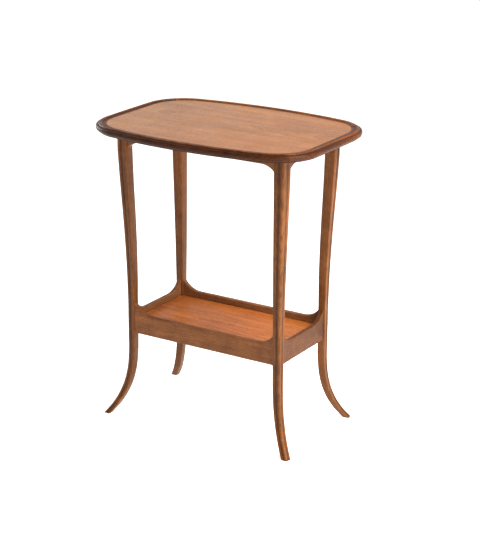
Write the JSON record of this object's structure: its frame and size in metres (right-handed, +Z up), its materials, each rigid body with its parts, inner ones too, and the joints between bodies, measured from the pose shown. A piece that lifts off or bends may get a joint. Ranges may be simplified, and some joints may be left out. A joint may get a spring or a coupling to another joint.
{
  "type": "tea table",
  "caption": "Two-tier tea table: bowed, round-cornered moulded top on slender legs that lean in to a galleried shelf and curve out to sabre feet.",
  "frame": {"origin": "on the floor under the middle of the top", "axes": "+Z up, +X along the long side to the right, front towards -Y"},
  "size_m": [0.6, 0.434, 0.75],
  "materials": {
    "leg_wood": "polished, warm brown",
    "rail_wood": "polished, warm brown",
    "moulding_wood": "polished, darker brown",
    "top_veneer": "polished, figured, light brown",
    "shelf_veneer": "polished, figured, orange brown",
    "core_wood": "plain planed softwood, lightly stained",
    "block_wood": "plain planed softwood",
    "screw_steel": "dulled steel"
  },
  "bodies": {
    "root": {"corner_block_back_left": "block_wood", "corner_block_back_right": "block_wood", "corner_block_front_left": "block_wood", "corner_block_front_right": "block_wood", "frieze_rail_back": "rail_wood", "frieze_rail_front": "rail_wood", "frieze_rail_left": "rail_wood", "frieze_rail_right": "rail_wood", "leg_back_left": "leg_wood", "leg_back_right": "leg_wood", "leg_front_left": "leg_wood", "leg_front_right": "leg_wood", "shelf_board": "core_wood", "shelf_rail_back": "rail_wood", "shelf_rail_front": "rail_wood", "shelf_rail_left": "rail_wood", "shelf_rail_right": "rail_wood", "shelf_veneer": "shelf_veneer", "top_core": "core_wood", "top_lipping_back": "moulding_wood", "top_lipping_front": "moulding_wood", "top_lipping_left": "moulding_wood", "top_lipping_right": "moulding_wood", "top_screws": "screw_steel", "top_veneer": "top_veneer"}
  },
  "joints": []
}
